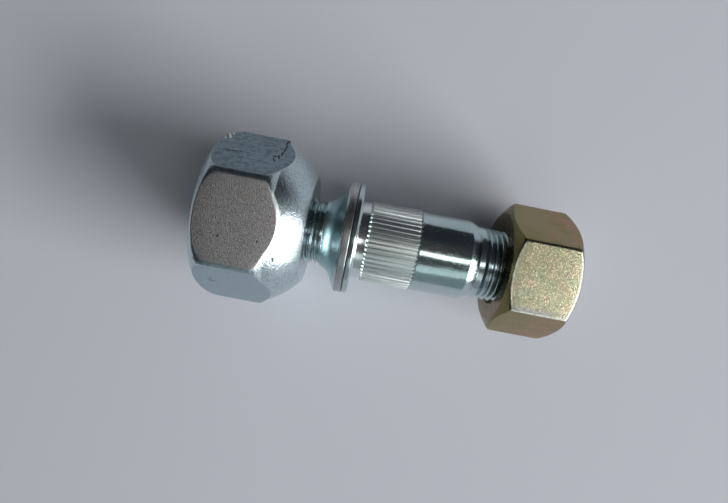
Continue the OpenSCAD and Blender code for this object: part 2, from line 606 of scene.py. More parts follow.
    def shank(self) -> list[Corner]:
        """Gives the smooth shank's and the taper's outline."""
        start = self.knurl_end
        thread_r = self.hub_thread.outer_r
        return [
            Corner(self.shank_d / 2, start + self.hold),
            Corner(self.shank_d / 2, start + 2 * self.hold),
            Corner(self.shank_d / 2, start + self.shank_l, self.taper_round),
            Corner(thread_r, self.taper_end, self.taper_end_round),
            Corner(thread_r, self.taper_end + self.plain_l),
        ]

    def fade(
        self, thread: ScrewThread, end: float, rise: Callable[[float], float] = lambda z: 0.0
    ) -> Callable[[Vector], Vector]:
        """Makes the move that lets a thread run out towards a plain end.

        Args:
            thread: The thread that runs out.
            end: Where the groove has gone, along the axis.
            rise: What gives how far the plain surface stands above the thread at a place along the axis.

        Returns:
            The move for a point.
        """

        def move(spot: Vector) -> Vector:
            """Lifts a point out of the groove near the end."""
            share = 1 - min(abs(spot.z - end) / self.runout_l, 1.0)
            r = math.hypot(spot.x, spot.y)
            lifted = r + rise(spot.z) + (thread.outer_r - r) * share * share * (3 - 2 * share)
            return Vector((spot.x * lifted / r, spot.y * lifted / r, spot.z))

        return move

    def close_tip(self, work: Workpiece, thread: ScrewThread, cut: float, tip: float) -> None:
        """Bevels and closes the free end of a thread.

        Args:
            work: The piece whose thread has an open rim.
            thread: The thread at that end.
            cut: Where the rim is along the axis.
            tip: Where the end face lies.
        """
        end_r = thread.outer_r - thread.depth - self.tip_bevel
        inward = math.copysign(self.tip_round, tip - cut)
        work.select_rim(cut)
        edge = [(end_r + self.tip_round, tip - inward), (end_r - self.tip_inset, tip)]
        work.loft(plain_rings(edge, self.columns))
        work.fill()
        work.close()

    def build(self, place: Matrix) -> bpy.types.Object:
        """Models the stud.

        Args:
            place: From the lathe axis to the frame.

        Returns:
            The finished stud.
        """
        arc, hollow_z = self.hollow()
        wheel_cut = -self.wheel_end_l + self.wheel_thread.depth + self.tip_bevel
        hub_cut = self.hub_end_l - self.hub_thread.depth - self.tip_bevel
        work = Workpiece("plated_stud", self.columns)
        work.cut_thread(self.wheel_thread.stud_form, self.wheel_thread.pitch, wheel_cut, hollow_z)
        work.reshape(self.fade(self.wheel_thread, hollow_z, self.hollow_rise))
        hub_start = self.taper_end + self.hub_lead_l
        far = Workpiece("hub_thread", self.columns)
        far.cut_thread(self.hub_thread.stud_form, self.hub_thread.pitch, hub_start, hub_cut)
        far.reshape(self.fade(self.hub_thread, hub_start))
        self.close_tip(work, self.wheel_thread, wheel_cut, -self.wheel_end_l)
        self.close_tip(far, self.hub_thread, hub_cut, self.hub_end_l)
        work.select_rim(hollow_z)
        work.loft(plain_rings(soften(arc + self.flange()), self.columns))
        work.loft(self.knurl())
        work.loft(plain_rings(soften(self.shank()), self.columns))
        work.close()
        work.join(far)
        work.bridge()
        return work.finish(place)


def stain(piece: bpy.types.Object, value: float) -> None:
    """Writes one value to all faces of a piece, for its finish.

    Args:
        piece: The piece.
        value: How dark with grime they are, from 0 to 1.
    """
    layer = piece.data.attributes.new(MARK_LAYER, "FLOAT", "FACE")
    layer.data.foreach_set("value", [value] * len(piece.data.polygons))


@dataclass(frozen=True)
class Mark:
    """A cut, pit or burr on a nut's outside.

    Attributes:
        turn: Direction round the axis in degrees, such as that of a flat's middle.
        reach: Distance of the surface from the axis in that direction.
        along: Place along the axis.
        across: Place across that direction.
        length: Length along the surface.
        width: Width along the surface.
        depth: Depth below the surface, or height above it.
        lean: Turn of the length away from the axis, in degrees.
        grime: How dark its faces are, from 0 to 1, or -1 for bare bright metal.
    """

    turn: float
    reach: float
    along: float
    across: float
    length: float
    width: float
    depth: float
    lean: float = 0.0
    grime: float = 1.0

    @property
    def frame(self) -> Matrix:
        """The place of the mark's ball, from a ball of radius 1."""
        spot = Matrix.Translation((self.reach, self.across, self.along))
        face = Matrix.Rotation(math.radians(self.lean), 4, "X")
        size = Matrix.Diagonal((self.depth, self.width / 2, self.length / 2, 1.0))
        return Matrix.Rotation(math.radians(self.turn), 4, "Z") @ spot @ face @ size

    def model(self, seed: int, rough: float = 0.18) -> bpy.types.Object:
        """Models the uneven ball that cuts or fills the mark.

        Args:
            seed: Seed of its unevenness.
            rough: How uneven it is, beside its radius.

        Returns:
            The ball.
        """
        bpy.ops.object.select_all(action="DESELECT")
        bpy.ops.mesh.primitive_ico_sphere_add(subdivisions=2, radius=1.0, location=(0, 0, 0))
        ball = bpy.context.object
        bpy.ops.object.mode_set(mode="EDIT")
        bpy.ops.mesh.select_all(action="SELECT")
        bpy.ops.transform.vertex_random(offset=rough, seed=seed)
        bpy.ops.object.mode_set(mode="OBJECT")
        ball.matrix_world = self.frame
        bpy.ops.object.transform_apply(location=True, rotation=True, scale=True)
        stain(ball, self.grime)
        return ball


@dataclass
class HexNut:
    """A hexagon nut on a thread.

    Attributes:
        name: Name of the finished piece.
        thread: The thread in its bore.
        across_flats: Width over two opposite flats.
        low: The lower face along the axis.
        high: The upper face along the axis.
        corner_round: Rounding of the six corners.
        face_d: Diameter of the round lower face.
        chamfer: Slope of the lower chamfer, in radians.
        countersink: Widening of the bore at its mouths, on the radius.
        side_columns: Columns of points on each of the six sides.
        corner_share: Share of those columns that lie on the corners' rounding.
        flat_rows: Rows of faces along the flats.
        lead: Length of the first and the last of those rows.
        edge_round: Rounding of the edges round a flat.
        end_round: Further rounding of those edges at the six corners.
        mouth_lead: Length of the first step into the bore.
        mouth_soft: Rounding of the bore's mouths.
        face_soft: Rounding of the round face's edge.
    """

    name: str
    thread: ScrewThread
    across_flats: float
    low: float
    high: float
    corner_round: float
    face_d: float
    chamfer: float
    countersink: float = 0.9
    side_columns: int = 40
    corner_share: float = 0.3
    flat_rows: int = 10
    lead: float = 3.0
    edge_round: float = 0.35
    end_round: float = 0.8
    mouth_lead: float = 0.15
    mouth_soft: float = 0.1
    face_soft: float = 0.5

    @property
    def columns(self) -> int:
        """Columns of points round the nut."""
        return FLAT_SIDES * self.side_columns

    @property
    def rounding_start(self) -> float:
        """Angle from a flat's middle at which a corner's rounding starts."""
        mid_r = (self.across_flats / 2 - self.corner_round) / math.cos(HALF_SIDE)
        return math.atan2(mid_r * math.sin(HALF_SIDE), self.across_flats / 2)

    def side_angle(self, column: int) -> float:
        """Spreads the columns of one side, with more of them on the corners.

        Args:
            column: The column's number.

        Returns:
            Its angle round the axis.
        """
        side, part = divmod(column + self.side_columns // 2, self.side_columns)
        share = 2 * part / self.side_columns - 1
        bend = self.rounding_start
        flat_share = 1 - self.corner_share
        size = abs(share)
        if size < flat_share:
            turn = math.atan(math.tan(bend) * size / flat_share)
        else:
            turn = bend + (HALF_SIDE - bend) * (size - flat_share) / self.corner_share
        return side * 2 * HALF_SIDE + math.copysign(turn, share)

    def side_radius(self, angle: float) -> float:
        """Gives the radius of the rounded hexagon at an angle round the axis."""
        turn = (angle + HALF_SIDE) % (2 * HALF_SIDE) - HALF_SIDE
        half = self.across_flats / 2
        if abs(turn) <= self.rounding_start:
            return half / math.cos(turn)
        mid_r = (half - self.corner_round) / math.cos(HALF_SIDE)
        rest = HALF_SIDE - abs(turn)
        return mid_r * math.cos(rest) + math.sqrt(self.corner_round**2 - (mid_r * math.sin(rest)) ** 2)

    def end_soft(self, side_r: float) -> float:
        """Gives the rounding of a flat's end edge, which grows towards the corners."""
        half = self.across_flats / 2
        share = (side_r - half) / (self.side_radius(HALF_SIDE) - half)
        return self.edge_round + self.end_round * share**3

    def lower_side(self, side_r: float) -> list[Corner]:
        """Gives the outline from the lower bore mouth to the flat."""
        face_r = self.face_d / 2
        mouth_r = self.thread.outer_r + self.thread.gap + self.countersink
        rim_z = self.low + (side_r - face_r) * math.tan(self.chamfer)
        return [
            Corner(mouth_r - self.mouth_lead, self.low + self.mouth_lead),
            Corner(mouth_r, self.low, self.mouth_soft),
            Corner(face_r, self.low, self.face_soft),
            Corner(side_r, rim_z, self.end_soft(side_r)),
        ]

    def upper_side(self, side_r: float) -> list[Corner]:
        """Gives the outline from the flat to the upper bore mouth."""
        mirrored = self.lower_side(side_r)[::-1]
        return [Corner(c.r, self.low + self.high - c.z, c.round) for c in mirrored]

    def outline(self, side_r: float) -> list[Corner]:
        """Gives one column's outline from bore mouth to bore mouth.

        Args:
            side_r: Radius of the hexagon at that column.

        Returns:
            The outline's corners.
        """
        lower = self.lower_side(side_r)
        upper = self.upper_side(side_r)
        first, last = lower[-1].z + self.lead, upper[0].z - self.lead
        steps = self.flat_rows - 2
        flat = [Corner(side_r, first + (last - first) * row / steps) for row in range(steps + 1)]
        return lower + flat + upper

    def marks(self) -> tuple[list[Mark], list[Mark]]:
        """Gives the cuts and the burrs: a plain nut has none."""
        return [], []

    def wear(self, work: Workpiece) -> None:
        """Cuts the marks and adds the burrs.

        Args:
            work: The nut on the bench.
        """
        cuts, burrs = self.marks()
        work.close()
        stain(work.body, 0.0)
        for operation, marks in (("DIFFERENCE", cuts), ("UNION", burrs)):
            for seed, mark in enumerate(marks):
                work.combine(mark.model(seed), operation)

    def build(self, place: Matrix) -> bpy.types.Object:
        """Models the nut.

        Args:
            place: From the lathe axis to the frame.

        Returns:
            The finished nut.
        """
        work = Workpiece(self.name, self.columns)
        start = self.low + self.countersink
        end = self.high - self.countersink
        work.cut_thread(self.thread.nut_form, self.thread.pitch, start, end)
        angles = [self.side_angle(column) for column in range(self.columns)]
        sections = [soften(self.outline(self.side_radius(angle))) for angle in angles]

        def ring_at(row: int) -> Ring:
            """Makes one ring from the same point of every column's outline."""
            return lambda column: (angles[column], *sections[column][row])

        work.select_rim(start)
        work.loft([ring_at(row) for row in range(len(sections[0]))])
        work.bridge()
        self.wear(work)
        return work.finish(place)


@dataclass
class BallSeatNut(HexNut):
    """A hexagon nut whose upper side is a ball seat with bevelled corners.

    Attributes:
        ball_r: Radius of the ball.
        ball_end_d: Diameter of the flat end of the ball seat.
        ball_d: Diameter where the ball gives way to the corner bevel.
        corner_slope: Slope of the corner bevel, in radians.
        ball_rows: Rings on the ball.
        rim_inset: Least step from a flat's edge in to the ball.
        rim_soft: Rounding where the ball meets the corner bevel.
        ball_end_soft: Rounding of the flat end's edge.
    """

    ball_r: float = 24.0
    ball_end_d: float = 29.6
    ball_d: float = 43.0
    corner_slope: float = math.radians(45)
    ball_rows: int = 20
    rim_inset: float = 0.3
    rim_soft: float = 0.6
    ball_end_soft: float = 0.4
    lead: float = 5.0
    edge_round: float = 0.6
    end_round: float = 4.4

    def marks(self) -> tuple[list[Mark], list[Mark]]:
        """Gives the cuts, pits and burrs that the photograph shows, with the flats' directions in degrees."""
        half = self.across_flats / 2
        back, top, front = 120.0, 180.0, 240.0
        # Each: turn, reach, along, across, length, width, depth, lean and, for a burr, grime.
        cuts = [
            Mark(back, half, -34.7, 1.8, 2.2, 0.35, 0.30, 4),
            Mark(back, half, -36.2, 2.1, 0.9, 0.5, 0.22, -10),
            Mark(back, half, -26.4, -1.5, 1.6, 0.4, 0.30, 30),
            Mark(back, half, -25.0, -2.9, 1.4, 0.45, 0.32, 42),
            Mark(back, half, -23.9, -4.2, 1.1, 0.4, 0.28, 38),
            Mark(back, half, -24.6, 0.5, 1.2, 0.9, 0.22, 10),
            Mark(back, half, -23.3, -8.8, 2.8, 0.40, 0.32, 82),
            Mark(back, half, -23.0, -6.4, 2.9, 0.42, 0.36, 91),
            Mark(back, half, -23.0, -4.0, 2.8, 0.40, 0.34, 94),
            Mark(back, half, -23.1, -1.8, 2.8, 0.42, 0.34, 96),
            Mark(back, half, -23.5, 0.5, 2.8, 0.38, 0.32, 104),
            Mark(back, half, -24.3, 2.4, 2.4, 0.36, 0.28, 122),
            Mark(front, half, -35.0, -1.6, 2.2, 0.45, 0.32, -20),
            Mark(front, half, -35.2, -3.0, 1.3, 0.42, 0.30, -8),
            Mark(top, half, -23.4, 3.8, 0.5, 0.7, 0.30, 20),
            Mark(top, half, -33.0, 4.2, 0.6, 0.6, 0.28, 0),
            Mark(202.0, 20.3, -19.2, 0.0, 0.8, 1.5, 0.45, 15),
            Mark(186.0, 19.0, -17.4, 0.0, 0.5, 0.6, 0.35, 0),
        ]
        burrs = [
            Mark(back, half - 0.25, -38.6, -6.4, 1.2, 3.2, 0.85, 28, -1.0),
            Mark(back, half - 0.30, -38.0, -8.0, 0.9, 1.6, 0.65, 46, -1.0),
            Mark(back, half - 0.30, -39.2, -5.0, 0.6, 1.6, 0.60, 10, -1.0),
            Mark(back, half - 0.30, -23.2, -10.0, 0.6, 1.5, 0.60, -24, 0.8),
            Mark(back, half - 0.20, -22.8, -9.0, 0.5, 1.0, 0.55, 40, 0.6),
        ]
        return cuts, burrs

    def ball_z(self, r: float) -> float:
        """Gives the place along the axis of the ball's surface at a radius."""
        mid_z = self.high - math.sqrt(self.ball_r**2 - (self.ball_end_d / 2) ** 2)
        return mid_z + math.sqrt(self.ball_r**2 - r**2)

    def upper_side(self, side_r: float) -> list[Corner]:
        """Gives the outline from the flat over the corner bevel and the ball to the bore mouth."""
        bevel_r = self.ball_d / 2
        end_r = self.ball_end_d / 2
        mouth_r = self.thread.outer_r + self.thread.gap + self.countersink
        if side_r > bevel_r:
            edge_z = self.ball_z(bevel_r) - (side_r - bevel_r) * math.tan(self.corner_slope)
        else:
            edge_z = self.ball_z(side_r)
        edge = Corner(side_r, edge_z, self.end_soft(side_r))
        rim_r = min(bevel_r, side_r - self.rim_inset)
        corners = [edge, Corner(rim_r, self.ball_z(rim_r), self.rim_soft)]
        for row in range(1, self.ball_rows):
            r = rim_r + (end_r - rim_r) * row / self.ball_rows
            corners.append(Corner(r, self.ball_z(r)))
        return corners + [
            Corner(end_r, self.high, self.ball_end_soft),
            Corner(mouth_r, self.high, self.mouth_soft),
            Corner(mouth_r - self.mouth_lead, self.high - self.mouth_lead),
        ]


class Tap:
    """A node's output socket that takes part in Python arithmetic."""

    def __init__(self, graph: "Graph", socket: bpy.types.NodeSocket) -> None:
        """Holds a socket of a graph."""
        self.graph = graph
        self.socket = socket

    def _math(self, operation: str, first: Any, second: Any) -> "Tap":
        """Adds a Math node."""
        return self.graph.node("ShaderNodeMath", {"operation": operation}, {0: first, 1: second})

    def __add__(self, other: Any) -> "Tap":
        """Adds."""
        return self._math("ADD", self, other)

    __radd__ = __add__

    def __sub__(self, other: Any) -> "Tap":
        """Subtracts."""
        return self._math("SUBTRACT", self, other)

    def __rsub__(self, other: Any) -> "Tap":
        """Subtracts from a number."""
        return self._math("SUBTRACT", other, self)

    def __mul__(self, other: Any) -> "Tap":
        """Multiplies."""
        return self._math("MULTIPLY", self, other)

    __rmul__ = __mul__

    def __pow__(self, other: Any) -> "Tap":
        """Raises to a power."""
        return self._math("POWER", self, other)

    def size(self) -> "Tap":
        """Drops the sign."""
        return self._math("ABSOLUTE", self, 0.0)

    def most(self, other: Any) -> "Tap":
        """Takes the larger of two values."""
        return self._math("MAXIMUM", self, other)

    def within(self, low: float, high: float, soft: float, at: float = 0.0) -> "Tap":
        """Gives 1 between two values and 0 outside, with soft ends; at shifts both values."""
        return self.band(low - soft, low + soft, at) * self.band(high + soft, high - soft, at)

    def band(self, low: float, high: float, at: float = 0.0) -> "Tap":
        """Maps the range from low to high onto 0 to 1, smoothly; at shifts both values."""
        inputs = {"Value": self, "From Min": at + low, "From Max": at + high}
        return self.graph.node("ShaderNodeMapRange", {"interpolation_type": "SMOOTHSTEP"}, inputs)


class Graph:
    """The nodes of one material or of the world."""

    def __init__(self, tree: bpy.types.NodeTree) -> None:
        """Empties a node tree and keeps it."""
        self.tree = tree
        tree.nodes.clear()

    def node(self, kind: str, settings: dict[str, Any], inputs: dict[Any, Any], output: Any = 0) -> Tap:
        """Adds a node.

        Args:
            kind: The node's type.
            settings: Its settings, which are set first.
            inputs: Values or links of its sockets.
            output: The output that is wanted.

        Returns:
            That output.
        """
        made = self.tree.nodes.new(kind)
        for key, value in settings.items():
            setattr(made, key, value)
        for key, value in inputs.items():
            if isinstance(value, Tap):
                self.tree.links.new(value.socket, made.inputs[key])
            else:
                made.inputs[key].default_value = value
        return Tap(self, made.outputs[output]) if made.outputs else Tap(self, None)

    def coats(self, colour: Any, layers: Sequence[tuple[Any, Any]]) -> Tap:
        """Lays colours over one another.

        Args:
            colour: The lowest colour.
            layers: For each colour over it, its share and the colour.

        Returns:
            The mixed colour.
        """
        for share, tint in layers:
            colour = self.node("ShaderNodeMix", {"data_type": "RGBA"}, {0: share, 6: colour, 7: tint}, 2)
        return colour

    def parts(self, vector: Tap) -> list[Tap]:
        """Splits a vector or a colour's vector into its three parts."""
        first = self.node("ShaderNodeSeparateXYZ", {}, {"Vector": vector})
        return [Tap(self, socket) for socket in first.socket.node.outputs]

    def rings(self, radius: Tap) -> Tap:
        """Gives coordinates that change with the radius alone."""
        return self.node("ShaderNodeCombineXYZ", {}, {"X": radius})

    def specks(self, vector: Tap, scale: float, share: float, radius: float) -> Tap:
        """Scatters small round specks.

        Args:
            vector: Coordinates in millimetres.
            scale: Places for a speck in a millimetre.
            share: Share of the places that have one.
            radius: Size of a speck beside its place.

        Returns:
            1 in a speck, 0 elsewhere.
        """
        spread = self.node("ShaderNodeTexVoronoi", {}, {"Vector": vector, "Scale": scale}, "Distance")
        chance = self.parts(Tap(self, spread.socket.node.outputs["Color"]))[0]
        return spread.band(radius, radius / 2) * chance.band(share, share - SPECK_SOFT)

    def relief(self, layers: Sequence[tuple[Tap, float]]) -> Tap:
        """Raises a surface, layer on layer.

        Args:
            layers: For each layer, its height from 0 to 1 and the height of 1 in millimetres.

        Returns:
            The new normal.
        """
        under: dict[Any, Any] = {}
        for height, depth in layers:
            normal = self.node("ShaderNodeBump", {}, {"Distance": depth * MM, "Height": height, **under})
            under = {"Normal": normal}
        return normal


@dataclass(frozen=True)
class Cloud:
    """A cloudy pattern, with values about one half.

    Attributes:
        scale: Clouds in a millimetre.
        detail: How many finer layers are added.
        rough: How strong the finer layers are.
        stretch: Clouds in a millimetre along each axis, where they differ.
    """

    scale: float = 1.0
    detail: float = 2.0
    rough: float = 0.5
    stretch: tuple[float, float, float] | None = None

    def draw(self, graph: Graph, vector: Tap) -> Tap:
        """Adds the pattern to a graph.

        Args:
            graph: The finish's nodes.
            vector: Coordinates in millimetres.

        Returns:
            The pattern's values.
        """
        if self.stretch:
            vector = graph.node("ShaderNodeVectorMath", {"operation": "MULTIPLY"}, {0: vector, 1: self.stretch})
        inputs = {"Vector": vector, "Scale": self.scale, "Detail": self.detail, "Roughness": self.rough}
        return graph.node("ShaderNodeTexNoise", {}, inputs)


class Bench:
    """A piece's coordinates beside the lathe axis, in millimetres, for its finish."""

    def __init__(self, graph: Graph, place: Matrix) -> None:
        """Adds the coordinates to a graph.

        Args:
            graph: The finish's nodes.
            place: From the lathe axis to the frame.
        """
        spot = graph.node("ShaderNodeTexCoord", {}, {}, "Object")
        self.spot = graph.node("ShaderNodeMapping", {"vector_type": "TEXTURE"}, {
            "Vector": spot, "Location": place.to_translation(), "Rotation": place.to_euler(),
            "Scale": place.to_scale(),
        })
        self.x, self.y, self.along = graph.parts(self.spot)
        self.radius = (self.x * self.x + self.y * self.y) ** (1 / 2)

    def towards(self, turn: float) -> Tap:
        """Gives the distance from the axis in one direction round it."""
        return self.x * math.cos(turn) + self.y * math.sin(turn)

    def reach(self) -> Tap:
        """Gives the distance from the axis square to the nearest pair of flats."""
        first = self.towards(0.0).size()
        return first.most(self.towards(2 * HALF_SIDE).size()).most(self.towards(4 * HALF_SIDE).size())


Colour = tuple[float, float, float, float]
Span = tuple[float, float]


@dataclass(frozen=True)
class Plating:
    """A metal plating.

    Each kind names its colours, its patterns, the spans over which a mask fades in, the shares of
    a colour, of roughness or of a height, and the depths of its relief, in millimetres.

    Attributes:
        name: Name of the finish.
    """

    name: str

    def start(self) -> tuple[bpy.types.Material, Graph]:
        """Makes an empty material and gives it with its nodes."""
        material = bpy.data.materials.new(self.name)
        material.use_nodes = True
        return material, Graph(material.node_tree)

    def shade(self, graph: Graph, colour: Tap, roughness: Tap, normal: Tap) -> None:
        """Adds the metal's shader.

        Args:
            graph: The finish's nodes.
            colour: Its colour.
            roughness: Its roughness.
            normal: Its normal.
        """
        inputs = {"Base Color": colour, "Metallic": 1.0, "Roughness": roughness, "Normal": normal}
        metal = graph.node("ShaderNodeBsdfPrincipled", {}, inputs)
        graph.node("ShaderNodeOutputMaterial", {}, {"Surface": metal})


@dataclass(frozen=True)
class StudZinc(Plating):
    """Bright blue-white zinc on turned and rolled steel, with painted shade in the knurl's and the threads'
    grooves.
    """

    blue: Colour = (0.60, 0.68, 0.71, 1)
    teal: Colour = (0.48, 0.63, 0.63, 1)
    straw: Colour = (0.70, 0.69, 0.60, 1)
    hollow_teal: Colour = (0.36, 0.54, 0.55, 1)
    knurl_grey: Colour = (0.84, 0.88, 0.85, 1)
    forging_brown: Colour = (0.46, 0.44, 0.425, 1)
    # Dark colour of the seam's line, also used for the painted shade in the knurl's and the threads' grooves.
    grime: Colour = (0.07, 0.08, 0.085, 1)
    drift: Cloud = Cloud(0.14)
    haze: Cloud = Cloud(0.9, 4)
    fine: Cloud = Cloud(5.0, 3)
    rings: Cloud = Cloud(detail=3, stretch=(0.03, 0.03, 5.0))
    lines: Cloud = Cloud(stretch=(4.0, 4.0, 0.12))
    worn: Cloud = Cloud(detail=4, rough=0.65, stretch=(0.5, 0.5, 3.5))
    scratch: Cloud = Cloud(detail=3, rough=0.65, stretch=(4.5, 4.5, 0.35))
    turned: Cloud = Cloud(2.2, 3)
    wave: Cloud = Cloud(0.30)
    teal_span: Span = (0.40, 0.62)
    straw_span: Span = (0.50, 0.75)
    worn_span: Span = (0.40, 0.60)
    line_span: Span = (0.60, 0.72)
    line_drift: Span = (0.45, 0.6)
    line_crest: Span = (0.62, 0.75)
    scratch_span: Span = (0.52, 0.72)
    neck_rise: Span = (0.5, 0.2)
    rim_rise: Span = (-0.7, -0.35)
    seam_rise: Span = (-0.6, -0.5)
    thread_sink: Span = (-0.35, -0.85)
    tip_span: Span = (0.2, 0.05)
    hollow_soft: float = 0.3
    knurl_soft: float = 0.1
    shank_soft: float = 0.2
    rim_soft: float = 0.15
    seam_half: float = 0.16
    seam_soft: float = 0.06
    thread_soft: float = 0.4
    groove_part: float = 0.6
    straw_share: float = 0.4
    hollow_share: float = 0.8
    knurl_share: float = 0.75
    rim_share: Span = (0.35, 0.65)
    # Strength of the painted shade in the grooves.
    groove_shade_share: float = 0.3
    seam_share: float = 0.85
    rough: float = 0.15
    rough_haze: float = 0.08
    rough_knurl: float = 0.16
    rough_hollow: float = 0.13
    rough_rim: float = 0.14
    smooth_shank: float = 0.05
    rough_lines: float = 0.12
    rough_scratch: float = 0.16
    rough_tip: Span = (0.06, 0.2)
    wave_share: float = 0.3
    fine_share: float = 0.25
    rim_grain: float = 3.0
    rim_fine: float = 2.0
    wave_depth: float = 0.03
    ring_depth: float = 0.004
    turned_depth: float = 0.05
    fine_depth: float = 0.012
    line_depth: float = 0.004
    scratch_depth: float = 0.006

    def build(self, stud: Stud, place: Matrix) -> bpy.types.Material:
        """Makes the finish for a stud.

        Args:
            stud: The stud's sizes.
            place: From the lathe axis to the frame.

        Returns:
            The material.
        """
        material, graph = self.start()
        bench = Bench(graph, place)
        drift, haze, fine, rings, lines, worn, scratch, wave = (
            cloud.draw(graph, bench.spot) for cloud in (
                self.drift, self.haze, self.fine, self.rings, self.lines, self.worn, self.scratch, self.wave,
            )
        )
        turned = self.turned.draw(graph, graph.rings(bench.radius))

        hollow_z = stud.hollow()[1]
        soft, flange_r = self.knurl_soft, stud.flange_d / 2
        hollow = bench.along.within(hollow_z - self.hollow_soft, -stud.rim_t - self.hollow_soft, self.hollow_soft)
        knurl = bench.along.within(stud.knurl_start + soft, stud.knurl_end - soft, soft)
        shank = bench.along.within(stud.knurl_end + soft, stud.knurl_end + stud.shank_l, self.shank_soft)
        neck = bench.along.within(0.0, stud.knurl_start, soft)
        neck = neck * bench.radius.band(*self.neck_rise, stud.neck_d / 2)
        rim = bench.radius.band(*self.rim_rise, flange_r)
        rim = rim * bench.along.within(self.rim_soft - stud.rim_t, -stud.seam_at, self.rim_soft)
        seam = bench.along.within(-self.seam_half, self.seam_half, self.seam_soft, -stud.seam_at)
        seam = seam * bench.radius.band(*self.seam_rise, flange_r)
        far, near = self.tip_span
        tip = bench.along.band(far, near, -stud.wheel_end_l) + bench.along.band(-far, -near, stud.hub_end_l)

        # Painted shade: the knurl's grooves and the threads' grooves are darkened by their depth.
        root = stud.knurl_d / 2 - stud.knurl_depth
        groove = bench.radius.band(self.groove_part * stud.knurl_depth, 0.0, root) * knurl
        hub_start = stud.taper_end + stud.plain_l
        for thread, start, end in (
            (stud.wheel_thread, hollow_z, hollow_z - self.thread_soft),
            (stud.hub_thread, hub_start, hub_start + self.thread_soft),
        ):
            groove = groove + bench.radius.band(*self.thread_sink, thread.outer_r) * bench.along.band(start, end)

        rim_least, rim_more = self.rim_share
        colour = graph.coats(self.blue, (
            (drift.band(*self.teal_span), self.teal),
            (haze.band(*self.straw_span) * self.straw_share, self.straw),
            (hollow * self.hollow_share, self.hollow_teal),
            ((knurl + neck) * self.knurl_share, self.knurl_grey),
            (rim * (rim_least + rim_more * worn.band(*self.worn_span)), self.forging_brown),
            # Painted shade in the grooves, and the seam's dark line.
            (groove * self.groove_shade_share + seam * self.seam_share, self.grime),
        ))
        tip_least, tip_more = self.rough_tip
        roughness = self.rough + self.rough_haze * haze + self.rough_knurl * knurl + self.rough_hollow * hollow
        roughness = roughness + self.rough_rim * rim - self.smooth_shank * shank
        roughness = roughness + self.rough_lines * lines.band(*self.line_span) * drift.band(*self.line_drift)
        roughness = roughness + self.rough_scratch * scratch.band(*self.scratch_span) * shank
        roughness = roughness + tip * (tip_least + tip_more * turned)
        rim_height = worn * self.rim_grain + haze * self.rim_grain + fine * self.rim_fine
        normal = graph.relief((
            (wave * (self.wave_share + shank), self.wave_depth),
            (rings, self.ring_depth),
            (turned * tip, self.turned_depth),
            (fine * (self.fine_share + knurl) + rim_height * rim, self.fine_depth),
            (lines.band(*self.line_crest), self.line_depth),
            (scratch * shank, self.scratch_depth),
        ))
        self.shade(graph, colour, roughness, normal)
        return material


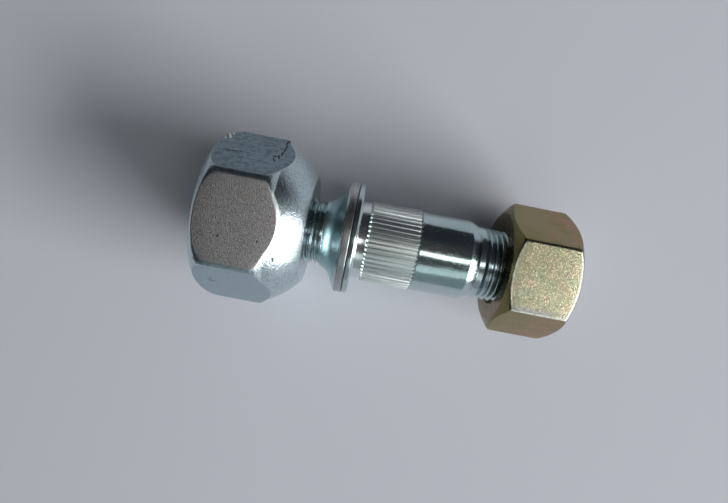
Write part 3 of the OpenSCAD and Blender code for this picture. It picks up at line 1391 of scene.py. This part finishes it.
@dataclass(frozen=True)
class ForgedZinc(Plating):
    """Blue-white zinc on a blasted forging with a smoother ball seat."""

    flat_grey: Colour = (0.52, 0.515, 0.51, 1)
    flat_dark: Colour = (0.20, 0.195, 0.195, 1)
    flat_brown: Colour = (0.50, 0.47, 0.46, 1)
    flat_light: Colour = (0.80, 0.77, 0.75, 1)
    # Painted reflection of the pale floor on the side flats.
    side_reflection_blue: Colour = (0.42, 0.54, 0.59, 1)
    # Painted shade on the back flat, deepened along its streaks.
    back_shade_and_streak: Colour = (0.13, 0.19, 0.235, 1)
    ball_blue: Colour = (0.63, 0.73, 0.755, 1)
    ball_dark: Colour = (0.36, 0.43, 0.46, 1)
    # Bare metal of the burrs, also used as the painted highlight along the upper flat's edges.
    bare: Colour = (0.82, 0.82, 0.80, 1)
    grime: Colour = (0.06, 0.055, 0.05, 1)
    drift: Cloud = Cloud(0.16)
    haze: Cloud = Cloud(0.8, 4)
    grain: Cloud = Cloud(detail=3, rough=0.6, stretch=(2.4, 2.4, 4.0))
    fine: Cloud = Cloud(6.0, 3)
    peened: Cloud = Cloud(2.0, 3, 0.6)
    hammered: Cloud = Cloud(0.45, 1)
    streak: Cloud = Cloud(detail=4, rough=0.6, stretch=(1.6, 1.6, 0.16))
    speck_scale: float = 0.8
    speck_places: float = 0.12
    speck_radius: float = 0.17
    flat_rise: Span = (-0.14, -0.03)
    brown_span: Span = (0.40, 0.65)
    dark_span: Span = (0.52, 0.36)
    light_span: Span = (0.58, 0.70)
    streak_span: Span = (0.54, 0.30)
    back_haze: Span = (0.56, 0.32)
    ball_span: Span = (0.50, 0.34)
    edge_rise: Span = (-0.55, -0.14)
    edge_rise_soft: float = 0.10
    edge_start: Span = (8.0, 10.0)
    edge_across: Span = (-5.5, 8.5)
    edge_across_soft: float = 1.0
    dark_share: float = 0.8
    light_share: float = 0.7
    side_reflection_share: float = 0.85
    back_shade_share: Span = (0.25, 0.45)
    back_shade_haze_share: float = 0.65
    edge_highlight_share: float = 0.75
    grime_share: float = 0.85
    rough: float = 0.17
    rough_upper: float = 0.19
    rough_side: float = 0.27
    rough_haze: float = 0.08
    rough_drift: float = 0.05
    rough_raw: float = 0.3
    rough_edge: float = 0.25
    side_grain: float = 0.25
    side_streak: float = 0.10
    back_streak: float = 0.35
    fine_share: Span = (0.25, 0.75)
    grain_depth: float = 0.13
    fine_depth: float = 0.016
    peened_depth: float = 0.075
    hammered_depth: float = 0.04
    speck_depth: float = 0.05

    def build(self, nut: HexNut, place: Matrix) -> bpy.types.Material:
        """Makes the finish for a ball-seat nut.

        Args:
            nut: The nut's sizes.
            place: From the lathe axis to the frame.

        Returns:
            The material.
        """
        material, graph = self.start()
        bench = Bench(graph, place)
        half = nut.across_flats / 2
        flat = bench.reach().band(*self.flat_rise, half)
        upper = bench.towards(math.pi).band(*self.flat_rise, half)
        back = bench.towards(4 * HALF_SIDE).band(*self.flat_rise, half)
        side = flat - upper
        drift, haze, grain, fine, peened, hammered, streak = (
            cloud.draw(graph, bench.spot) for cloud in (
                self.drift, self.haze, self.grain, self.fine, self.peened, self.hammered, self.streak,
            )
        )
        speck = graph.specks(bench.spot, self.speck_scale, self.speck_places, self.speck_radius)
        mark = graph.node("ShaderNodeAttribute", {"attribute_name": MARK_LAYER}, {}, "Fac")
        raw = mark.band(0.0, -1.0)
        # Painted highlight: a bright band on the upper flat's rounded edges, kept to set bounds along and across
        # the nut.
        edge = bench.towards(math.pi).within(*self.edge_rise, self.edge_rise_soft, half)
        edge = edge * bench.along.band(*self.edge_start, nut.low)
        edge = edge * bench.y.within(*self.edge_across, self.edge_across_soft)

        # The back flat's painted shade: a least share, and more along the streaks.
        back_least, back_more = self.back_shade_share
        ball = graph.coats(self.ball_blue, ((peened.band(*self.ball_span), self.ball_dark),))
        colour = graph.coats(self.flat_grey, (
            (haze.band(*self.brown_span), self.flat_brown),
            (grain.band(*self.dark_span) * self.dark_share, self.flat_dark),
            (grain.band(*self.light_span) * self.light_share, self.flat_light),
            # Painted reflection: the side flats take the blue of the floor that they mirror.
            (side * self.side_reflection_share, self.side_reflection_blue),
            # Painted shade: the back flat, which mirrors the shadowed floor, is darkened, more along its streaks
            # and in cloudy blotches.
            (back * (back_least + back_more * streak.band(*self.streak_span)), self.back_shade_and_streak),
            (back * haze.band(*self.back_haze) * self.back_shade_haze_share, self.back_shade_and_streak),
            (1 - flat, ball),
            # Bare metal on the burrs, and the painted edge highlight.
            (raw + self.edge_highlight_share * edge, self.bare),
            (speck * self.grime_share + mark.band(0.0, 1.0) * self.grime_share, self.grime),
        ))
        roughness = self.rough + self.rough_upper * upper + self.rough_side * side + self.rough_haze * haze
        roughness = roughness + self.rough_drift * drift + self.rough_raw * raw + self.rough_edge * edge
        fine_least, fine_more = self.fine_share
        grain_height = grain * (upper + self.side_grain * side)
        streak_height = streak * (self.side_streak * side + self.back_streak * back)
        normal = graph.relief((
            (grain_height + streak_height, self.grain_depth),
            (fine * (fine_least + fine_more * flat), self.fine_depth),
            (peened * (1 - flat), self.peened_depth),
            (hammered * (1 - flat), self.hammered_depth),
            (1 - speck, self.speck_depth),
        ))
        self.shade(graph, colour, roughness, normal)
        return material


@dataclass(frozen=True)
class YellowZinc(Plating):
    """Yellow passivated zinc with an iridescent drift, rubbed silver corners and a painted highlight in silver
    along the upper flat's edges.
    """

    straw: Colour = (0.49, 0.48, 0.33, 1)
    green: Colour = (0.42, 0.455, 0.30, 1)
    amber: Colour = (0.54, 0.455, 0.315, 1)
    # Dark olive that the side flats keep as painted shade, while the upper flat turns straw.
    shaded_olive: Colour = (0.29, 0.255, 0.10, 1)
    rose: Colour = (0.49, 0.28, 0.18, 1)
    # Painted shade on the chamfers.
    chamfer_shade_olive: Colour = (0.17, 0.15, 0.06, 1)
    # Brown of the end faces, made darker as painted shade.
    shaded_face_brown: Colour = (0.26, 0.15, 0.09, 1)
    face_olive: Colour = (0.24, 0.21, 0.095, 1)
    dark_olive: Colour = (0.22, 0.22, 0.11, 1)
    # Silver of the rubbed corners, also the painted highlight along the upper flat's edges.
    silver: Colour = (0.80, 0.80, 0.76, 1)
    worn_grey: Colour = (0.52, 0.53, 0.52, 1)
    grime: Colour = (0.09, 0.065, 0.05, 1)
    drift: Cloud = Cloud(0.11)
    patch: Cloud = Cloud(0.33, 3)
    haze: Cloud = Cloud(1.2, 3)
    grain: Cloud = Cloud(5.4, 1)
    wipe: Cloud = Cloud(detail=3, stretch=(1.1, 1.1, 0.18))
    fine: Cloud = Cloud(7.0)
    hue: Cloud = Cloud(3.4, 2, 0.6)
    turned: Cloud = Cloud(detail=3, stretch=(5.0, 1.0, 1.0))
    flat_rise: Span = (-0.10, -0.02)
    end_span: Span = (0.12, 0.04)
    edge_span: Span = (0.65, 0.30)
    corner_span: Span = (0.1, 0.4)
    corner_reach: Span = (1.10, 1.125)
    rubbed_rise: Span = (0.0, 1.5)
    chamfer_span: Span = (0.25, 0.0)
    scuff_across: Span = (2.1, 0.9)
    scuff_patch: Span = (0.36, 0.60)
    scuff_haze: Span = (0.25, 0.55)
    drift_span: Span = (0.35, 0.65)
    blush_span: Span = (0.30, 0.70)
    wipe_span: Span = (0.35, 0.65)
    amber_span: Span = (0.48, 0.62)
    green_span: Span = (0.48, 0.34)
    face_span: Span = (0.40, 0.64)
    face_grime: Span = (0.54, 0.36)
    rose_span: Span = (0.52, 0.70)
    dark_span: Span = (0.46, 0.28)
    silver_haze: Span = (0.30, 0.55)
    rubbed_haze: Span = (0.35, 0.5)
    blush_inset: float = 3.0
    # Least, cloudy and upper-flat shares of straw; the upper flat's share paints it lighter than the side flats.
    straw_share: tuple[float, float, float] = (0.04, 0.2, 0.76)
    blush_share: Span = (0.25, 0.75)
    wipe_share: Span = (0.55, 0.9)
    patch_share: float = 0.7
    chamfer_shade_share: float = 0.8
    face_share: float = 0.8
    face_grime_share: float = 0.5
    end_share: float = 0.95
    rose_share: Span = (0.5, 0.3)
    dark_share: float = 0.6
    edge_highlight_share: float = 0.8
    corner_share: float = 0.30
    rubbed_share: Span = (0.55, 0.45)
    scuff_share: float = 0.85
    rough: float = 0.20
    rough_haze: float = 0.12
    rough_side: float = 0.10
    rough_rubbed: float = 0.28
    rough_edge: float = 0.15
    grain_share: Span = (0.28, 0.72)
    scuff_smooth: float = 0.7
    grain_depth: float = 0.078
    fine_depth: float = 0.010
    turned_depth: float = 0.012

    def build(self, nut: HexNut, place: Matrix) -> bpy.types.Material:
        """Makes the finish for a hub nut.

        Args:
            nut: The nut's sizes.
            place: From the lathe axis to the frame.

        Returns:
            The material.
        """
        material, graph = self.start()
        bench = Bench(graph, place)
        half = nut.across_flats / 2
        flat = bench.reach().band(*self.flat_rise, half)
        upper = bench.towards(math.pi).band(*self.flat_rise, half)
        drift, patch, haze, grain, wipe, fine, hue = (
            cloud.draw(graph, bench.spot) for cloud in (
                self.drift, self.patch, self.haze, self.grain, self.wipe, self.fine, self.hue,
            )
        )
        turned = self.turned.draw(graph, graph.rings(bench.radius))

        rise = (bench.radius - nut.face_d / 2) * math.tan(nut.chamfer)
        low_edge = bench.along - nut.low - rise
        high_edge = nut.high - bench.along - rise
        far, near = self.end_span
        end = bench.along.band(far, near, nut.low) + bench.along.band(-far, -near, nut.high)
        # Painted highlight: silver along the upper flat's edges.
        edge = (low_edge.band(*self.edge_span) + high_edge.band(*self.edge_span)) * upper
        corner = (1 - flat) * low_edge.band(*self.corner_span) * high_edge.band(*self.corner_span)
        corner = corner * bench.radius.band(*(share * half for share in self.corner_reach))
        rubbed = corner * bench.towards(7 * HALF_SIDE).band(*self.rubbed_rise, half)
        ridge = half * math.tan(HALF_SIDE)
        scuffed = upper * bench.y.band(*self.scuff_across, -ridge)
        scuffed = scuffed * patch.band(*self.scuff_patch) * haze.band(*self.scuff_haze)
        # Painted shade: the chamfers by both faces are darkened.
        chamfer = (low_edge.band(*self.chamfer_span) + high_edge.band(*self.chamfer_span)) * (1 - end)

        # Painted light and shade: the upper flat is mostly straw, the side flats mostly dark olive.
        straw_least, straw_drift, lit_upper_straw = self.straw_share
        straw = straw_least + straw_drift * drift.band(*self.drift_span) + lit_upper_straw * upper
        blush_least, blush_more = self.blush_share
        blush = bench.along.band(nut.low + self.blush_inset, nut.high - self.blush_inset)
        blush = patch.band(*self.blush_span) * (blush_least + blush_more * blush)
        wipe_least, wipe_more = self.wipe_share
        rose_flat, rose_upper = self.rose_share
        rubbed_least, rubbed_more = self.rubbed_share
        # The end faces: brown with olive patches and grime, the brown darkened as painted shade.
        face = graph.coats(self.shaded_face_brown, (
            (patch.band(*self.face_span) * self.face_share, self.face_olive),
            (haze.band(*self.face_grime) * self.face_grime_share, self.grime),
        ))
        # Silver: painted highlight along the upper flat's edges, and wear on the corners.
        worn = (edge * self.edge_highlight_share + corner * self.corner_share) * haze.band(*self.silver_haze)
        colour = graph.coats(self.shaded_olive, (
            (straw, self.straw),
            (blush * (flat - upper) * (wipe_least + wipe_more * wipe.band(*self.wipe_span)), self.rose),
            (upper * patch.band(*self.amber_span) * self.patch_share, self.amber),
            (upper * patch.band(*self.green_span) * self.patch_share, self.green),
            # Painted shade on the chamfers.
            (chamfer * self.chamfer_shade_share, self.chamfer_shade_olive),
            (end * self.end_share, face),
            (hue.band(*self.rose_span) * (rose_flat * flat - rose_upper * upper), self.rose),
            (hue.band(*self.dark_span) * self.dark_share * flat, self.dark_olive),
            (worn, self.silver),
            (rubbed * (rubbed_least + rubbed_more * haze.band(*self.rubbed_haze)), self.silver),
            (scuffed * self.scuff_share, self.worn_grey),
        ))
        roughness = self.rough + self.rough_haze * haze + self.rough_side * (flat - upper)
        roughness = roughness + self.rough_rubbed * rubbed + self.rough_edge * edge
        grain_flat, grain_upper = self.grain_share
        grain_height = grain * (grain_flat * flat + grain_upper * upper) * (1 - self.scuff_smooth * scuffed)
        normal = graph.relief((
            (grain_height, self.grain_depth),
            (fine, self.fine_depth),
            (turned * (1 - flat), self.turned_depth),
        ))
        self.shade(graph, colour, roughness, normal)
        return material


@dataclass(frozen=True)
class Camera:
    """The camera at the photograph's viewing angle.

    Attributes:
        place: Its place in the frame, in metres.
        turns: Its turns about the frame's axes, in radians, first X, then Y, then Z.
        focal_px: Focal length in pixels of the picture.
        width_px: Width of the picture.
        sensor_w: Width of the sensor in millimetres.
        near: Distance in metres from which things are shown.
    """

    place: tuple[float, float, float] = (-0.0007999, 0.0095728, 0.1574722)
    turns: tuple[float, float, float] = (0.09125, -0.03658, -0.19745)
    focal_px: float = 492.28
    width_px: float = 728.0
    sensor_w: float = 36.0
    near: float = 0.005

    def build(self) -> None:
        """Adds the camera to the scene."""
        data = bpy.data.cameras.new("camera")
        data.sensor_width = self.sensor_w
        data.lens = self.focal_px / self.width_px * self.sensor_w
        data.clip_start = self.near
        eye = bpy.data.objects.new("camera", data)
        bpy.context.scene.collection.objects.link(eye)
        rx, ry, rz = (Matrix.Rotation(turn, 4, axis) for turn, axis in zip(self.turns, "XYZ"))
        eye.matrix_world = Matrix.Translation(self.place) @ (rz @ ry @ rx).transposed()
        bpy.context.scene.camera = eye


@dataclass(frozen=True)
class Softbox:
    """A soft rectangular lamp that faces the part.

    Attributes:
        name: Its name.
        azimuth: Direction round the part in degrees, from +X towards +Y.
        elevation: Height above the floor in degrees.
        distance: Distance from the part in metres.
        width: Width in metres, level with the floor.
        height: Height in metres.
        radiance: How bright its face looks, where 1 is white.
        colour: Tint of its light.
    """

    name: str
    azimuth: float
    elevation: float
    distance: float
    width: float
    height: float
    radiance: float
    colour: tuple[float, float, float] = (1.0, 1.0, 1.0)

    def build(self, target: Vector) -> None:
        """Adds the lamp.

        Args:
            target: The point that it faces.
        """
        turn, rise = math.radians(self.azimuth), math.radians(self.elevation)
        away = Vector((math.cos(turn) * math.cos(rise), math.sin(turn) * math.cos(rise), math.sin(rise)))
        data = bpy.data.lights.new(self.name, "AREA")
        data.shape = "RECTANGLE"
        data.size = self.width
        data.size_y = self.height
        data.energy = self.radiance * math.pi * self.width * self.height
        data.color = self.colour
        lamp = bpy.data.objects.new(self.name, data)
        bpy.context.scene.collection.objects.link(lamp)
        lamp.location = target + away * self.distance
        lamp.visible_camera = False
        lamp.rotation_mode = "QUATERNION"
        lamp.rotation_quaternion = (-away).to_track_quat("-Z", "Y")


@dataclass(frozen=True)
class Studio:
    """The floor, the lamps and the surroundings.

    Attributes:
        floor_colour: Colour of the floor.
        floor_size: Length of each side of the floor.
        dark: Colour of the surroundings behind the part.
        front: Colour of the surroundings in front of the part.
        top: Colour of the surroundings overhead.
        lean: How far the front turns to either side.
        front_span: Where the front fades in.
        top_span: Where the top fades in.
        lamps: The softboxes.
    """

    floor_colour: tuple[float, float, float] = (0.68, 0.70, 0.76)
    floor_size: float = 1.8
    dark: tuple[float, float, float] = (0.022, 0.025, 0.032)
    front: tuple[float, float, float] = (0.23, 0.27, 0.29)
    top: tuple[float, float, float] = (0.06, 0.056, 0.054)
    lean: float = 0.7
    front_span: Span = (0.0, 0.7)
    top_span: Span = (0.62, 0.97)
    lamps: tuple[Softbox, ...] = (
        Softbox("overhead", azimuth=0.0, elevation=68.0, distance=0.7, width=0.12, height=0.36, radiance=3.0),
        Softbox("side", azimuth=-18.0, elevation=19.0, distance=3.0, width=2.20, height=1.56, radiance=12.0),
        Softbox(
            "fill", azimuth=-58.0, elevation=45.0, distance=0.8, width=0.65, height=0.28, radiance=0.6,
            colour=(0.90, 0.99, 1.0),
        ),
    )

    def floor(self) -> None:
        """Adds the floor."""
        bpy.ops.object.select_all(action="DESELECT")
        bpy.ops.mesh.primitive_plane_add(size=self.floor_size, location=(0, 0, 0))
        plane = bpy.context.object
        plane.name = "floor"
        material = bpy.data.materials.new("floor")
        material.use_nodes = True
        graph = Graph(material.node_tree)
        shader = graph.node(
            "ShaderNodeBsdfPrincipled", {},
            {"Base Color": (*self.floor_colour, 1), "Roughness": 1.0, "Specular IOR Level": 0.0},
        )
        graph.node("ShaderNodeOutputMaterial", {}, {"Surface": shader})
        plane.data.materials.append(material)

    def surroundings(self) -> None:
        """Sets the world: dim behind the part, paler in front of it, warm grey overhead."""
        world = bpy.data.worlds.new("surroundings")
        bpy.context.scene.world = world
        world.use_nodes = True
        graph = Graph(world.node_tree)
        way = graph.node("ShaderNodeTexCoord", {}, {}, "Generated")
        across, ahead, up = graph.parts(way)
        colour = graph.coats((*self.dark, 1), (
            ((self.lean * across - self.lean * ahead).band(*self.front_span), (*self.front, 1)),
            (up.band(*self.top_span), (*self.top, 1)),
        ))
        sky = graph.node("ShaderNodeBackground", {}, {"Color": colour})
        graph.node("ShaderNodeOutputWorld", {}, {"Surface": sky})

    def build(self, target: Vector) -> None:
        """Adds the floor, the lamps and the surroundings.

        Args:
            target: The point that the lamps face.
        """
        self.floor()
        self.surroundings()
        for lamp in self.lamps:
            lamp.build(target)


def lie_down(record: dict[str, Any]) -> Matrix:
    """Works out how the lathe axis lies in the frame.

    Args:
        record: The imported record, whose hub seat is at the axis's zero.

    Returns:
        From the lathe axis, in millimetres, to the frame, in metres.
    """
    seat = next(mount for mount in record["mounts"] if mount["name"] == "hub_seat")
    tilt = math.asin(-seat["axis"][2])
    turn = Matrix.Rotation(math.pi / 2 + tilt, 4, "Y")
    return Matrix.Translation(seat["pos_m"]) @ turn @ Matrix.Scale(MM, 4)


def main() -> None:
    """Builds the pieces, dresses them and sets up the studio."""
    logging.basicConfig(level=logging.INFO)
    bpy.context.scene.view_settings.view_transform = "Standard"
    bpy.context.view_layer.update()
    place = lie_down(frame["record"])
    wheel_thread = ScrewThread(outer_d=18.0)
    hub_thread = ScrewThread(outer_d=20.0)
    stud = Stud(wheel_thread, hub_thread)
    wheel_nut = BallSeatNut(
        "ball_seat_nut", wheel_thread, across_flats=41.0, low=-40.7, high=-13.2, corner_round=2.8, face_d=38.5,
        chamfer=math.radians(36),
    )
    hub_nut = HexNut(
        "yellow_nut", hub_thread, across_flats=32.0, low=39.7, high=58.2, corner_round=1.2, face_d=30.4,
        chamfer=math.radians(31),
    )
    for maker, finish, node, slot in (
        (stud, StudZinc("bright_zinc"), "stud", "stud_zinc"),
        (wheel_nut, ForgedZinc("forged_zinc"), "wheel_nut", "nut_zinc"),
        (hub_nut, YellowZinc("yellow_zinc"), "hub_nut", "yellow_zinc"),
    ):
        piece = maker.build(place)
        piece.data.materials.clear()
        piece.data.materials.append(finish.build(maker, place))
        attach(piece, node)
        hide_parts(node)
        LOG.info("%s: %d points, %d faces", piece.name, len(piece.data.vertices), len(piece.data.polygons))
    Camera().build()
    Studio().build(Vector(LAMP_AIM))


if __name__ == "__main__":
    main()
